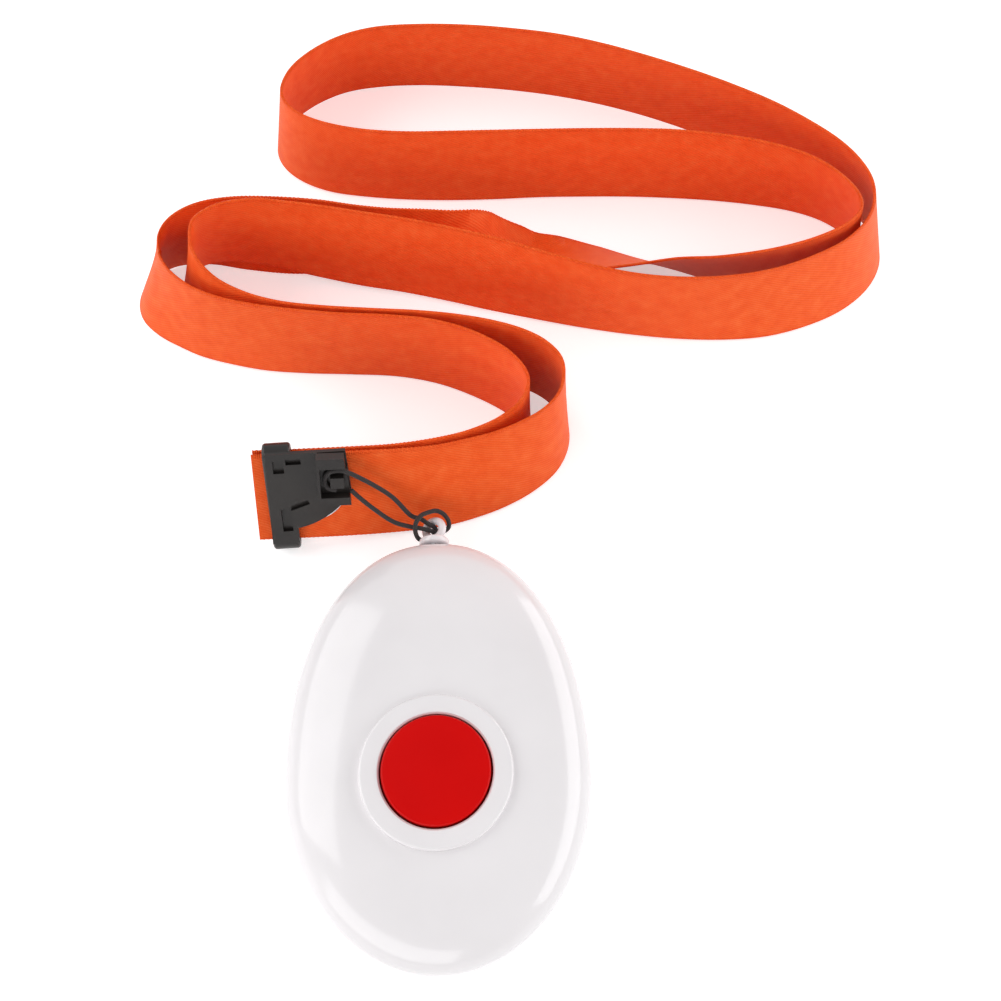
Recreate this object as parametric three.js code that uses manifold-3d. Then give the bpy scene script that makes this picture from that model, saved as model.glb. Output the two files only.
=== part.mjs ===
// Wireless nurse call pendant on a neck ribbon. Millimetres, +Z up.
// The pendant lies on its flat back with the button upward and the eyelet toward +Y.
// The ribbon stands on its lower edge behind it, in a folded S.
import * as THREE from "three";
import { mergeVertices } from "three/addons/utils/BufferGeometryUtils.js";
import Module from "manifold-3d";

const wasm = await Module();
wasm.setup();

// Case: an egg seen from above, widest across one line
const CASE_WIDTH = 53.2;
const CASE_ABOVE = 42.6;      // from the widest line to the eyelet end
const CASE_BELOW = 33.1;      // from the widest line to the other end
const CASE_SHOULDER = 2.15;   // exponent of the slightly square eyelet end
const CASE_HEIGHT = 16.6;
const WAIST_HEIGHT = 7;       // level of the widest outline
const BACK_FLAT = 0.8;        // share of the outline that is flat underneath
const DOME_POWER = 2.7;       // a higher power gives a flatter dome
const WALL = 1.8;
const SEAM_HEIGHT = 6;
const SEAM_GAP = 0.3;
const GAP = 0.3;              // between pieces that touch or pass
const SEAT = 0.15;            // under small parts that sit on the board or the case

// Gasket inside the seam
const GASKET_INSET = 2.6;
const GASKET_WIDTH = 1;
const GASKET_HEIGHT = 1.3;

// Button
const BUTTON_Y = -2;          // from the widest line of the case
const BUTTON_RADIUS = 9.15;
const BUTTON_TOP = 17.6;
const BUTTON_EDGE = 0.3;      // rounding of its rim
const BUTTON_GAP = 0.35;
const BUTTON_TRAVEL = 0.8;
const BUTTON_SKIN = 2;
const SKIRT_WALL = 1.2;
const FLANGE_WIDTH = 1.3;
const FLANGE_HEIGHT = 0.8;
const FLANGE_TOP = 14.1;
const STEM_RADIUS = 2.5;
const LAND_RADIUS = 12.9;     // the raised flat ring round the button
const LAND_TOP = 17.2;
const LAND_EDGE = 0.35;       // rounding of the ring's rim

// Board and what it carries
const BOARD_BOTTOM = 7.2;
const BOARD_THICK = 1.2;
const BOARD_INSET = 5;
const SWITCH_SIDE = 6.2;
const SWITCH_HEIGHT = 2.8;
const PLUNGER_RADIUS = 1.7;
const PLUNGER_INSIDE = 1;     // length of the plunger inside the switch
const SPRING_RADIUS = 5.8;
const SPRING_WIRE = 0.35;
const SPRING_TURNS = 4;
const CELL_Y = 2;
const CELL_RADIUS = 12.25;
const CELL_HEIGHT = 4.6;
const CELL_STEP = 1.1;        // the narrower underside of the cell
const HOLDER_WALL = 1.2;
const HOLDER_NOTCH = 9;       // opening to push the cell out
const CONTACT_WIDTH = 5;
const CONTACT_THICK = 0.2;
const ANTENNA_Y = 24;
const ANTENNA_LENGTH = 14;
const ANTENNA_RADIUS = 1.7;
const ANTENNA_WIRE = 0.3;
const ANTENNA_TURNS = 8;
const CHIP = { x: -9.5, y: 14.5, length: 6, width: 5, height: 1.5 };
const CRYSTAL = { x: 8.5, y: 14, length: 10.5, width: 3.8, height: 3.4 };
const CAPACITOR = { x: 10, y: -12, radius: 2.5, height: 4 };

// Screws
const CASE_SCREWS = [[-14.5, 19], [14.5, 19], [-13, -16.5], [13, -16.5]];
const BOARD_SCREWS = [[-7, -22], [7, -22]];
const SCREW_RADIUS = 1;
const SCREW_HEAD_RADIUS = 2;
const SCREW_HEAD_HEIGHT = 1.1;
const SCREW_SINK = 0.4;       // depth of the heads below the back face
const CASE_SCREW_LENGTH = 10;
const BOARD_SCREW_LENGTH = 4.5;
const SCREW_TAPER = 1.2;
const BOSS_WALL = 1.3;
const DRIVE_WIDTH = 0.6;      // cross in the screw heads
const DRIVE_REACH = 1.2;      // half the length of its arms
const DRIVE_DEPTH = 0.5;

// Eyelet
const EYE_STEM_RADIUS = 1.3;
const COLLAR_RADIUS = 2.85;
const COLLAR_THICK = 1.2;
const RING_RADIUS = 1.8;
const RING_WIRE = 0.75;
const RING_SINK = 0.4;        // how far the ring runs into its collar
const RING_TURN = -25;        // degrees that the ring is turned about the stem
const RETAINER_RADIUS = 2.4;
const RETAINER_THICK = 0.9;
const RETAINER_BACK = 1.3;    // from the inside of the wall to the retainer
const STEM_END = 0.6;         // length of stem past the retainer

// Lanyard
const RIBBON_WIDTH = 20;
const RIBBON_THICK = 0.7;
const RIBBON_FOOT = 1.5;      // rounds the turn where the ribbon lies flat
const RIBBON_STEPS = 2;       // between two points of its route
const LAY_TURN = -2.5;        // degrees that the ribbon's lay is turned against the pendant
const LAY_X = -0.15;
const LAY_Y = -6.45;
const STRING_DIAMETER = 1.1;

// Clip, in the plane of the front ribbon layer: along the ribbon, up its face, out of it
const CLIP_AT = 1;            // route point that the clip is seated on
const LAYER_STEP = 1.4;       // from the front ribbon layer to the back one
const CLIP_START = -7.1;
const CLIP_END = 3;
const EAR_LENGTH = 5.2;
const EAR_WALL = 1.55;        // round wall beyond the ribbon's edges
const PLATE_THICK = 1;
const PLATE_TOP = 11.2;
const PLATE_FOOT = -9.3;
const PLATE_NECK = -6.2;      // where the curved lower edge of the plate starts
const PLATE_BEND = [5, -5.2]; // control point of that curve
const PLATE_NOSE = [9.2, 1.2];
const PLATE_SHOULDER = 8.2;   // top corner on the block's side
const BACK_PLATE_THICK = 0.8;
const DISC_RADIUS = 7.3;
const DISC_THICK = 0.3;
const DISC_CENTRE = [1.25, 2.1];
const RIB_WIDTH = 0.65;
const RIB_HEIGHT = 0.5;
const RIB_FOOT = 1;
const RECESS_DEPTH = 0.5;
const RECESSES = [[-5.3, -3.3, 7, 9.8], [-2.9, -0.1, 8.8, 10], [-4.8, -2.9, -6.4, -1.2]];
const LIP_WIDTH = 1.1;        // how far the ears reach over the back of the ribbon
const BLOCK_HEIGHT = 2.35;
const BLOCK_OUTLINE = [[3.3, 1], [9.4, 1], [8.4, 11.3], [3.3, 11.3]];
const POCKET_BOX = [3.75, 2.6, 9.1];  // left side, foot and top of the open pocket
const POCKET_FLOOR = 0.4;
const PEG_BOX = [5.7, 4.6, 8.2, 6.9]; // the string runs round this peg
const PEG_SINK = 0.3;

// Route of the ribbon: x, y, roll in degrees from upright, lift of its lower edge
const RIBBON_ROUTE = [
  [-35.6, 49.1, 28, 3.1], [-27, 49.9, 28, 2.3], [-18, 50.8, 28, 1.45], [-9, 51.8, 27, 0.6],
  [-1, 53, 26, 0.1], [5.5, 54.7, 24, 0], [11, 56.6, 21, 0], [16, 59.2, 18, 0],
  [20.4, 62.6, 14, 0], [23.2, 66.8, 9, 0], [24, 71.3, 5, 0], [22.8, 75.8, 0, 0],
  [19.6, 79.4, -2, 0], [15, 82, -3, 0], [9, 84, -3, 0], [2, 85.4, -3, 0],
  [-6, 86.3, -3, 0], [-15, 86.8, -3, 0], [-25, 87.2, -5, 0], [-34, 88, -8, 0],
  [-42, 89.6, -13, 0.5], [-48.6, 92.4, -17, 1.6], [-53, 96.8, -19, 3], [-54.6, 102.2, -18, 4],
  [-53, 107.6, -13, 4.6], [-47.8, 110.6, -4, 4.4], [-41, 111.6, 4, 3.6], [-34, 111.4, 8, 2.4],
  [-27, 110.7, 12, 1.4], [-19, 109.3, 14, 1], [-10, 107.6, 14, 1], [0, 105.2, 14, 1],
  [10, 102.5, 13, 0.8], [20, 99.8, 9, 0.3], [30, 97.2, 5, 0], [40, 95.2, 3, 0],
  [50, 94.3, 4, 0], [60, 94.6, 7, 0], [69, 96.2, 11, 0], [77.5, 99.4, 14, 0],
  [84.5, 103.4, 16, 0], [90, 108.8, 18, 0], [93, 115, 19, 0], [93, 121.5, 17, 0],
  [90.2, 127.5, 13, 0], [85.5, 133, 9, 0], [79.5, 138.2, 7, 0], [72.5, 143.4, 6, 0],
  [64.5, 148.3, 6, 0], [55.5, 153, 6, 0], [45.5, 157.5, 6, 0], [35, 161.4, 5, 0],
  [24.5, 164.3, 4, 0], [13.5, 166.2, 4, 0], [3, 167.3, 4, 0], [-8, 167.7, 5, 0],
  [-18, 167, 6, 0], [-26.3, 164.7, 9, 0], [-33, 160.4, 11, 0], [-37.8, 154.8, 12, 0],
  [-39.8, 148.5, 12, 0], [-38.6, 143.3, 10, 0], [-34.5, 138.9, 8, 0], [-28, 135.8, 7, 0],
  [-19.5, 134, 5, 0], [-10, 133.2, 5, 0], [0, 133.2, 6, 0], [10, 133.5, 6, 0],
  [20, 133.9, 5, 0], [30, 134.1, 5, 0], [40, 134.1, 5, 0], [50, 133.7, 5, 0],
  [60, 132.6, 3, 0], [69.5, 130.8, 0, 0], [78, 128.1, -5, 0], [84.6, 124, -11, 0],
  [88.8, 118.6, -14, 0], [88.2, 112.8, -10, 0], [83.4, 108.6, -3, 0], [75.6, 105.9, 5, 0],
  [66.5, 104.8, 14, 0], [57, 105.4, 24, 0], [48, 107.2, 33, 0], [39.5, 108.5, 43, 0],
  [31, 110.2, 55, 0], [23, 111.5, 71, 0], [15.5, 112, 100, 0], [8, 110.5, 128, 0],
  [1, 109.6, 150, 0], [-6, 110.1, 158, 0], [-13, 110.7, 163, 0], [-20, 111.8, 166, 0],
  [-28, 113.2, 166, 0], [-37, 113.8, 164, 0], [-45.4, 114.2, 168, 0], [-52.6, 113.9, 178, 0],
  [-58.2, 112.1, 189, 0], [-62, 109, 200, 0], [-63.8, 105.2, 206, 0], [-63.5, 101.4, 207, 0],
  [-61.1, 97.8, 203, 0], [-57.3, 94.3, 197, 0], [-52.3, 91.1, 193, 0], [-46, 88.7, 190, 0],
  [-38.5, 87, 189, 0], [-30, 86, 187, 0], [-21, 85.4, 185, 0], [-11, 84.9, 185, 0],
  [-2, 83.4, 187, 0], [6, 80.3, 188, 0], [12.6, 76, 186, 0], [16.4, 70.8, 180, 0],
  [16, 65, 168, 0], [12.3, 60.3, 161, 0], [6.4, 56.9, 157, 0], [-0.5, 54.8, 155, 0],
  [-9, 53.2, 153, 0.1], [-18, 52.1, 152, 0.8], [-27, 51.15, 152, 1.65], [-35.6, 50.35, 152, 2.45],
];

// String: both strands from the ring to the block, and its turn round the peg in the block
const UPPER_STRAND = [[-5.6, 47.35, 9.05], [-6.8, 48, 9.9], [-9.5, 49.3, 12], [-13, 50.4, 15.2]];
const PEG_TURN = [
  [9.3, 7.4, 1.15], [7.2, 8.1, 1.15], [5.4, 7.6, 1.15], [4.65, 5.9, 1.15],
  [5.2, 4.3, 1.15], [7, 3.6, 1.15], [9.5, 3.5, 1.15],
];
const LOWER_STRAND = [[-15.4, 48.3, 13.6], [-12.7, 46.9, 11.4], [-9.4, 45.4, 9.4], [-6.8, 45, 8.75]];

// Hitch of the string round the ring, from the middle of the ring
const HITCH = [
  [-2.6, 1.9, 1.35], [-1.2, 1, 0.95], [0, 0, 0], [0.45, -0.1, -1.1], [1.4, 0.3, -1.9],
  [2.7, 1, -1.5], [2.8, 2, -0.5], [1.9, 3.1, 0.4], [0.6, 3.5, 1.1], [-0.8, 2.9, 1.8],
  [-2.3, 1.6, 2.6], [-3.1, 0.1, 2], [-3, -1.3, 1.1],
];

// Fineness of round shapes
const EGG_SIDES = 56;
const EGG_RINGS = 7;
const ROUND_SIDES = 40;
const SMALL_SIDES = 16;
const WIRE_SIDES = 6;
const STRING_SIDES = 8;
const COIL_STEPS = 12;
const RING_SIDES = 10;
const RING_STEPS = 20;
const LOOP_STEPS = 44;
const HITCH_STEPS = 30;
const EAR_SEGMENTS = 8;

const REACH = 2 * CASE_ABOVE;  // beyond every piece of the case
const RING_Y = CASE_ABOVE + GAP + COLLAR_THICK - RING_SINK + RING_RADIUS + RING_WIRE;
const LENGTH_ABOVE = RING_Y + RING_RADIUS + RING_WIRE;
const WAIST_Y = (CASE_BELOW - LENGTH_ABOVE) / 2;  // puts the origin under the middle of the pendant
const BOARD_TOP = BOARD_BOTTOM + BOARD_THICK;
const PART_Z = BOARD_TOP + SEAT;
const BOSS_RADIUS = SCREW_RADIUS + SEAT + BOSS_WALL;
const HEAD_BOSS_RADIUS = SCREW_HEAD_RADIUS + GAP + BOSS_WALL;
const HEAD_SEAT = SCREW_SINK + SCREW_HEAD_HEIGHT;

const materials = {
  shell: [0xf4f1f2, 0.22, 0],
  red: [0xd10000, 0.35, 0],
  gasket: [0x55585c, 0.8, 0],
  board: [0x1f6b3a, 0.5, 0],
  black: [0x35302f, 0.45, 0],
  steel: [0xb9bcc0, 0.3, 1],
  brass: [0xc9a24a, 0.35, 1],
  copper: [0xb8672f, 0.35, 1],
  holder: [0xd9d9d2, 0.5, 0],
  blue: [0x2b3f7a, 0.4, 0],
  ribbon: [0xe8602c, 0.6, 0],
  string: [0x2a2423, 0.7, 0],
};

// A closed geometry as a solid that can be cut and joined
function solid(geometry) {
  const bare = geometry.clone();
  bare.deleteAttribute("normal");
  bare.deleteAttribute("uv");
  const merged = mergeVertices(bare, 1e-4);
  const index = merged.index.array;
  const triangles = [];
  for (let i = 0; i < index.length; i += 3) {
    const [a, b, c] = [index[i], index[i + 1], index[i + 2]];
    if (a !== b && b !== c && a !== c) triangles.push(a, b, c);
  }
  const vertProperties = new Float32Array(merged.attributes.position.array);
  const triVerts = new Uint32Array(triangles);
  return new wasm.Manifold(new wasm.Mesh({ numProp: 3, vertProperties, triVerts }));
}

function geometryOf(body) {
  const mesh = body.getMesh();
  const geometry = new THREE.BufferGeometry();
  geometry.setAttribute("position", new THREE.BufferAttribute(mesh.vertProperties, 3));
  geometry.setIndex(new THREE.BufferAttribute(mesh.triVerts, 1));
  return geometry;
}

function box(x0, x1, y0, y1, z0, z1) {
  const geometry = new THREE.BoxGeometry(x1 - x0, y1 - y0, z1 - z0);
  geometry.translate((x0 + x1) / 2, (y0 + y1) / 2, (z0 + z1) / 2);
  return solid(geometry);
}

// A turned shape standing on x, y. The profile lists radius and height, from the foot up
function turned(profile, x, y, sides) {
  const points = profile.map(([radius, height]) => new THREE.Vector2(radius, height));
  const geometry = new THREE.LatheGeometry(points, sides);
  geometry.rotateX(Math.PI / 2);
  geometry.translate(x, y, 0);
  return solid(geometry);
}

function post(radius, x, y, z0, z1, sides = SMALL_SIDES) {
  return turned([[0, z0], [radius, z0], [radius, z1], [0, z1]], x, y, sides);
}

function tube(inner, outer, x, y, z0, z1, sides) {
  return turned([[inner, z0], [outer, z0], [outer, z1], [inner, z1], [inner, z0]], x, y, sides);
}

// A round rod along Y at the height of the eyelet
function rodAlongY(radius, y0, y1) {
  const geometry = new THREE.CylinderGeometry(radius, radius, y1 - y0, SMALL_SIDES);
  geometry.translate(0, WAIST_Y + (y0 + y1) / 2, WAIST_HEIGHT);
  return solid(geometry);
}

// A point of the egg outline at an angle, drawn in by an inset
function outlinePoint(angle, inset) {
  const c = Math.cos(angle);
  const s = Math.sin(angle);
  const power = 2 / (s > 0 ? CASE_SHOULDER : 2);
  const reach = (s > 0 ? CASE_ABOVE : CASE_BELOW) - inset;
  const x = (CASE_WIDTH / 2 - inset) * Math.sign(c) * Math.abs(c) ** power;
  const y = WAIST_Y + reach * Math.sign(s) * Math.abs(s) ** power;
  return [x, y];
}

// The whole egg, or its hollow when an inset is given
function egg(inset) {
  const profile = [];
  for (let i = EGG_RINGS; i >= 0; i -= 1) {
    const t = (i / EGG_RINGS) * Math.PI / 2;
    const share = BACK_FLAT + (1 - BACK_FLAT) * Math.cos(t);
    profile.push([share, WAIST_HEIGHT - (WAIST_HEIGHT - inset) * Math.sin(t)]);
  }
  profile.unshift([0, inset]);
  const rise = CASE_HEIGHT - inset - WAIST_HEIGHT;
  for (let i = 1; i <= EGG_RINGS; i += 1) {
    const t = (i / EGG_RINGS) * Math.PI / 2;
    const share = Math.cos(t) ** (2 / DOME_POWER);
    profile.push([i === EGG_RINGS ? 0 : share, WAIST_HEIGHT + rise * Math.sin(t) ** (2 / DOME_POWER)]);
  }
  const points = profile.map(([radius, height]) => new THREE.Vector2(radius, height));
  const geometry = new THREE.LatheGeometry(points, EGG_SIDES);
  geometry.rotateX(Math.PI / 2);
  const position = geometry.attributes.position;
  for (let i = 0; i < position.count; i += 1) {
    const share = Math.hypot(position.getX(i), position.getY(i));
    const [x, y] = outlinePoint(Math.atan2(position.getY(i), position.getX(i)), inset);
    position.setX(i, share * x);
    position.setY(i, WAIST_Y + share * (y - WAIST_Y));
  }
  return solid(geometry);
}

function outline(inset) {
  const points = [];
  for (let i = 0; i < EGG_SIDES; i += 1) {
    points.push(new THREE.Vector2(...outlinePoint((i / EGG_SIDES) * 2 * Math.PI, inset)));
  }
  return points;
}

function slab(shape, z0, z1) {
  const geometry = new THREE.ExtrudeGeometry(shape, { depth: z1 - z0, bevelEnabled: false });
  geometry.translate(0, 0, z0);
  return solid(geometry);
}

// A round wire, cord or coil along a smooth curve
function wire(curve, radius, steps, sides) {
  const section = new THREE.Shape();
  for (let i = 0; i < sides; i += 1) {
    const angle = (i / sides) * 2 * Math.PI;
    if (i === 0) section.moveTo(radius, 0);
    else section.lineTo(radius * Math.cos(angle), radius * Math.sin(angle));
  }
  return new THREE.ExtrudeGeometry(section, { steps, extrudePath: curve, bevelEnabled: false });
}

function smooth(points) {
  const vectors = points.map((point) => new THREE.Vector3(...point));
  return new THREE.CatmullRomCurve3(vectors, false, "catmullrom", 0.5);
}

// The screw places are given from the widest line of the case
const atWaist = ([x, y]) => [x, WAIST_Y + y];
const caseScrewPlaces = CASE_SCREWS.map(atWaist);
const boardScrewPlaces = BOARD_SCREWS.map(atWaist);
const buttonY = WAIST_Y + BUTTON_Y;
const shellEgg = egg(0).subtract(egg(WALL));

function eyeletHole() {
  return rodAlongY(EYE_STEM_RADIUS + GAP, CASE_ABOVE - 3 * WALL, CASE_ABOVE + WALL);
}

function frontShell() {
  const base = SEAM_HEIGHT + SEAM_GAP;
  const roof = CASE_HEIGHT - WALL;
  const land = turned([
    [0, roof], [LAND_RADIUS, roof], [LAND_RADIUS, LAND_TOP - LAND_EDGE],
    [LAND_RADIUS - LAND_EDGE, LAND_TOP], [0, LAND_TOP],
  ], 0, buttonY, ROUND_SIDES);
  let body = shellEgg.add(land);
  for (const [x, y] of caseScrewPlaces) {
    body = body.add(post(BOSS_RADIUS, x, y, base, CASE_HEIGHT).intersect(egg(0)));
  }
  body = body.subtract(box(-REACH, REACH, -REACH, REACH, -WALL, base));
  const bore = BUTTON_RADIUS + BUTTON_GAP;
  body = body.subtract(post(bore, 0, buttonY, SEAM_HEIGHT, LAND_TOP + WALL, ROUND_SIDES));
  for (const [x, y] of caseScrewPlaces) {
    body = body.subtract(post(SCREW_RADIUS + SEAT, x, y, 0, HEAD_SEAT + CASE_SCREW_LENGTH + GAP));
  }
  return body.subtract(eyeletHole());
}

function backCover() {
  const floor = WALL / 2;
  let body = shellEgg.subtract(box(-REACH, REACH, -REACH, REACH, SEAM_HEIGHT, 2 * CASE_HEIGHT));
  for (const [x, y] of caseScrewPlaces) {
    body = body.add(post(HEAD_BOSS_RADIUS, x, y, floor, SEAM_HEIGHT));
  }
  for (const [x, y] of boardScrewPlaces) {
    body = body.add(post(BOSS_RADIUS, x, y, floor, BOARD_BOTTOM - SEAT));
  }
  for (const [x, y] of caseScrewPlaces) {
    body = body.subtract(post(SCREW_HEAD_RADIUS + GAP, x, y, -WALL, HEAD_SEAT + SEAT));
    body = body.subtract(post(SCREW_RADIUS + GAP, x, y, -WALL, CASE_HEIGHT));
  }
  for (const [x, y] of boardScrewPlaces) {
    const tip = PART_Z - BOARD_SCREW_LENGTH - GAP;
    body = body.subtract(post(SCREW_RADIUS + SEAT, x, y, tip, CASE_HEIGHT));
  }
  return body.subtract(eyeletHole());
}

function gasket() {
  const ring = new THREE.Shape(outline(GASKET_INSET));
  ring.holes.push(new THREE.Path(outline(GASKET_INSET + GASKET_WIDTH).reverse()));
  const middle = SEAM_HEIGHT + SEAM_GAP / 2;
  const body = slab(ring, middle - GASKET_HEIGHT / 2, middle + GASKET_HEIGHT / 2);
  const notch = RETAINER_RADIUS + GAP;
  return body.subtract(box(-notch, notch, WAIST_Y, REACH, 0, CASE_HEIGHT));
}

function buttonCap() {
  const skirt = BUTTON_RADIUS - SKIRT_WALL;
  const flange = BUTTON_RADIUS + FLANGE_WIDTH;
  const foot = FLANGE_TOP - FLANGE_HEIGHT;
  const stemFoot = PART_Z + SWITCH_HEIGHT + PLUNGER_RADIUS + GAP;
  const under = BUTTON_TOP - BUTTON_SKIN;
  return turned([
    [0, stemFoot], [STEM_RADIUS, stemFoot], [STEM_RADIUS, under], [skirt, under], [skirt, foot],
    [flange, foot], [flange, FLANGE_TOP], [BUTTON_RADIUS, FLANGE_TOP],
    [BUTTON_RADIUS, BUTTON_TOP - BUTTON_EDGE], [BUTTON_RADIUS - BUTTON_EDGE, BUTTON_TOP], [0, BUTTON_TOP],
  ], 0, buttonY, ROUND_SIDES);
}

function switchBody() {
  const half = SWITCH_SIDE / 2;
  const top = PART_Z + SWITCH_HEIGHT;
  const well = top - PLUNGER_INSIDE - BUTTON_TRAVEL - SEAT;
  return box(-half, half, buttonY - half, buttonY + half, PART_Z, top)
    .subtract(post(PLUNGER_RADIUS + GAP, 0, buttonY, well, CASE_HEIGHT));
}

function switchPlunger() {
  const top = PART_Z + SWITCH_HEIGHT;
  return post(PLUNGER_RADIUS, 0, buttonY, top - PLUNGER_INSIDE, top + PLUNGER_RADIUS);
}

class Helix extends THREE.Curve {
  constructor(radius, length, turns, place) {
    super();
    Object.assign(this, { radius, length, turns, place });
  }

  getPoint(t) {
    const angle = t * this.turns * 2 * Math.PI;
    return this.place(this.radius * Math.cos(angle), this.radius * Math.sin(angle), t * this.length);
  }
}

function returnSpring() {
  const foot = PART_Z + SPRING_WIRE / 2;
  const height = BUTTON_TOP - BUTTON_SKIN - SEAT - SPRING_WIRE / 2 - foot;
  const helix = new Helix(SPRING_RADIUS, height, SPRING_TURNS,
    (a, b, c) => new THREE.Vector3(a, buttonY + b, foot + c));
  return solid(wire(helix, SPRING_WIRE / 2, SPRING_TURNS * COIL_STEPS, WIRE_SIDES));
}

function antennaCoil() {
  const z = PART_Z + ANTENNA_RADIUS + ANTENNA_WIRE / 2;
  const helix = new Helix(ANTENNA_RADIUS, ANTENNA_LENGTH, ANTENNA_TURNS,
    (a, b, c) => new THREE.Vector3(c - ANTENNA_LENGTH / 2, WAIST_Y + ANTENNA_Y + a, z + b));
  return solid(wire(helix, ANTENNA_WIRE / 2, ANTENNA_TURNS * COIL_STEPS, WIRE_SIDES));
}

function circuitBoard() {
  const shape = new THREE.Shape(outline(BOARD_INSET));
  let body = slab(shape, BOARD_BOTTOM, BOARD_TOP);
  for (const [x, y] of caseScrewPlaces) {
    body = body.subtract(post(BOSS_RADIUS + GAP, x, y, 0, CASE_HEIGHT));
  }
  for (const [x, y] of boardScrewPlaces) {
    body = body.subtract(post(SCREW_RADIUS + GAP, x, y, 0, CASE_HEIGHT));
  }
  return body;
}

function onBoard(part) {
  const y = WAIST_Y + part.y;
  const [halfX, halfY] = [part.length / 2, part.width / 2];
  return box(part.x - halfX, part.x + halfX, y - halfY, y + halfY, PART_Z, PART_Z + part.height);
}

function capacitor() {
  const { radius, x, y, height } = CAPACITOR;
  return post(radius, x, WAIST_Y + y, PART_Z, PART_Z + height);
}

const cellTop = BOARD_BOTTOM - GAP;
const cellY = WAIST_Y + CELL_Y;

function batteryCell() {
  const foot = cellTop - CELL_HEIGHT;
  return turned([
    [0, foot], [CELL_RADIUS - CELL_STEP, foot], [CELL_RADIUS - CELL_STEP, foot + CELL_STEP],
    [CELL_RADIUS, foot + CELL_STEP], [CELL_RADIUS, cellTop], [0, cellTop],
  ], 0, cellY, ROUND_SIDES);
}

function batteryHolder() {
  const inner = CELL_RADIUS + GAP;
  const ring = tube(inner, inner + HOLDER_WALL, 0, cellY, WALL + SEAT, cellTop, ROUND_SIDES);
  const half = HOLDER_NOTCH / 2;
  return ring.subtract(box(-half, half, cellY - 2 * inner, cellY, 0, CASE_HEIGHT));
}

function batteryContact() {
  const half = CELL_RADIUS - GAP;
  const z = WALL + SEAT;
  return box(-CONTACT_WIDTH / 2, CONTACT_WIDTH / 2, cellY - half, cellY + half, z, z + CONTACT_THICK);
}

// A screw with its head down at z and its tip above it, or the other way round
function screw(x, y, z, length, headUp) {
  const profile = [
    [0, -SCREW_HEAD_HEIGHT], [SCREW_HEAD_RADIUS, -SCREW_HEAD_HEIGHT], [SCREW_HEAD_RADIUS, 0],
    [SCREW_RADIUS, 0], [SCREW_RADIUS, length - SCREW_TAPER], [0, length],
  ];
  let body = turned(profile, 0, 0, SMALL_SIDES);
  const arm = DRIVE_REACH;
  const half = DRIVE_WIDTH / 2;
  const deep = -SCREW_HEAD_HEIGHT + DRIVE_DEPTH;
  body = body.subtract(box(-arm, arm, -half, half, -2 * SCREW_HEAD_HEIGHT, deep));
  body = body.subtract(box(-half, half, -arm, arm, -2 * SCREW_HEAD_HEIGHT, deep));
  const geometry = geometryOf(body);
  if (headUp) geometry.rotateX(Math.PI);
  geometry.translate(x, y, z);
  return geometry;
}

function eyelet() {
  const inner = CASE_ABOVE - WALL - RETAINER_BACK - RETAINER_THICK - STEM_END;
  const collar = CASE_ABOVE + GAP;
  const ring = new THREE.TorusGeometry(RING_RADIUS, RING_WIRE, RING_SIDES, RING_STEPS);
  ring.rotateY(THREE.MathUtils.degToRad(RING_TURN));
  ring.translate(0, WAIST_Y + RING_Y, WAIST_HEIGHT);
  return rodAlongY(EYE_STEM_RADIUS, inner, collar + COLLAR_THICK / 2)
    .add(rodAlongY(COLLAR_RADIUS, collar, collar + COLLAR_THICK))
    .add(solid(ring));
}

function eyeletRetainer() {
  const outer = CASE_ABOVE - WALL - RETAINER_BACK;
  return rodAlongY(RETAINER_RADIUS, outer - RETAINER_THICK, outer)
    .subtract(rodAlongY(EYE_STEM_RADIUS + SEAT, 0, CASE_ABOVE));
}

// A point of the ribbon's lay, turned and moved into the pendant's frame
function lay([x, y, z]) {
  const turn = THREE.MathUtils.degToRad(LAY_TURN);
  const point = new THREE.Vector3(x, y, z).applyAxisAngle(new THREE.Vector3(0, 0, 1), turn);
  return point.add(new THREE.Vector3(LAY_X, LAY_Y, 0));
}

// Middle line of the ribbon with the direction across its width at each place
function ribbonStations(stepsPerSpan) {
  const places = smooth(RIBBON_ROUTE.map(([x, y]) => [x, y, 0]));
  const rolls = smooth(RIBBON_ROUTE.map(([, , roll, lift]) => [roll, lift, 0]));
  const count = (RIBBON_ROUTE.length - 1) * stepsPerSpan;
  const middles = [];
  const angles = [];
  for (let i = 0; i <= count; i += 1) {
    const place = places.getPoint(i / count);
    const { x: roll, y: lift } = rolls.getPoint(i / count);
    const angle = THREE.MathUtils.degToRad(roll);
    const z = Math.hypot(RIBBON_WIDTH / 2 * Math.cos(angle), RIBBON_FOOT) + lift;
    middles.push(lay([place.x, place.y, z]));
    angles.push(angle);
  }
  return middles.map((middle, i) => {
    const along = middles[Math.min(i + 1, count)].clone().sub(middles[Math.max(i - 1, 0)]).normalize();
    const side = new THREE.Vector3(-along.y, along.x, 0).normalize();
    const up = new THREE.Vector3(0, 0, Math.cos(angles[i]));
    const across = side.multiplyScalar(Math.sin(angles[i])).add(up);
    across.addScaledVector(along, -across.dot(along)).normalize();
    return { middle, along, across, face: along.clone().cross(across) };
  });
}

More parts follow.
